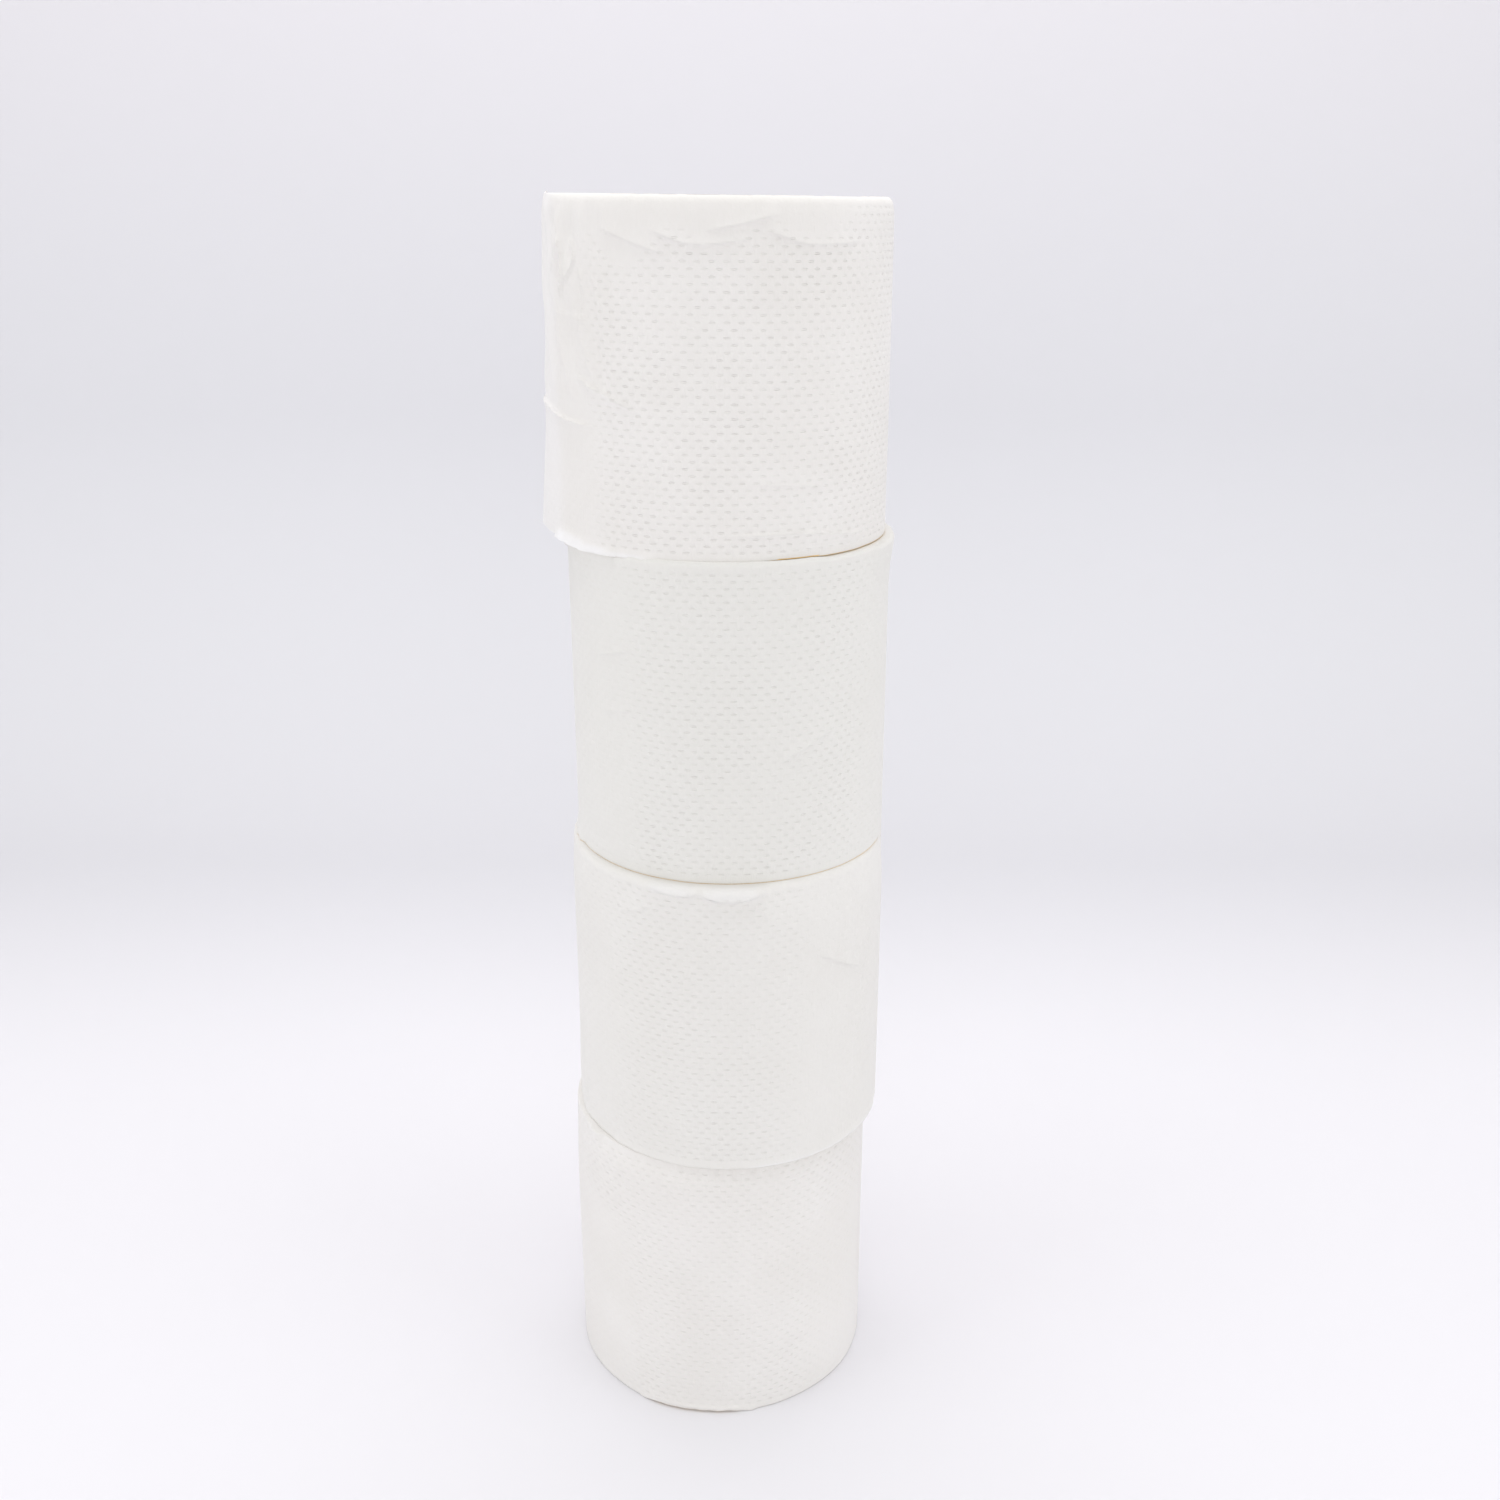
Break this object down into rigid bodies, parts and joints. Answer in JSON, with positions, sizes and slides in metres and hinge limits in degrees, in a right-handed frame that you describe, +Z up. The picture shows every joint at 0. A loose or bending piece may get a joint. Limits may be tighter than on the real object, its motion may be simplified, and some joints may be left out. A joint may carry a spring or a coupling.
{
  "type": "toilet paper roll pack",
  "caption": "Tall stack of unwrapped toilet paper rolls standing on end, each wound on a cardboard tube, the top one with a loose outer sheet.",
  "frame": {"origin": "on the bottom roll's axis, at the floor, in the mouth of its cardboard tube", "axes": "+Z up the stack, +X to the right and +Y to the back, as the picture sees it"},
  "size_m": [0.1098, 0.1085, 0.4],
  "materials": {
    "tissue_paper": "soft matt white tissue, embossed with staggered dimples",
    "core_board": "matt grey-brown wound board"
  },
  "bodies": {
    "root": {"bottom_roll_paper": "tissue_paper", "bottom_roll_core": "core_board", "lower_roll_paper": "tissue_paper", "lower_roll_core": "core_board", "upper_roll_paper": "tissue_paper", "upper_roll_core": "core_board", "top_roll_paper": "tissue_paper", "top_roll_core": "core_board"}
  },
  "joints": []
}
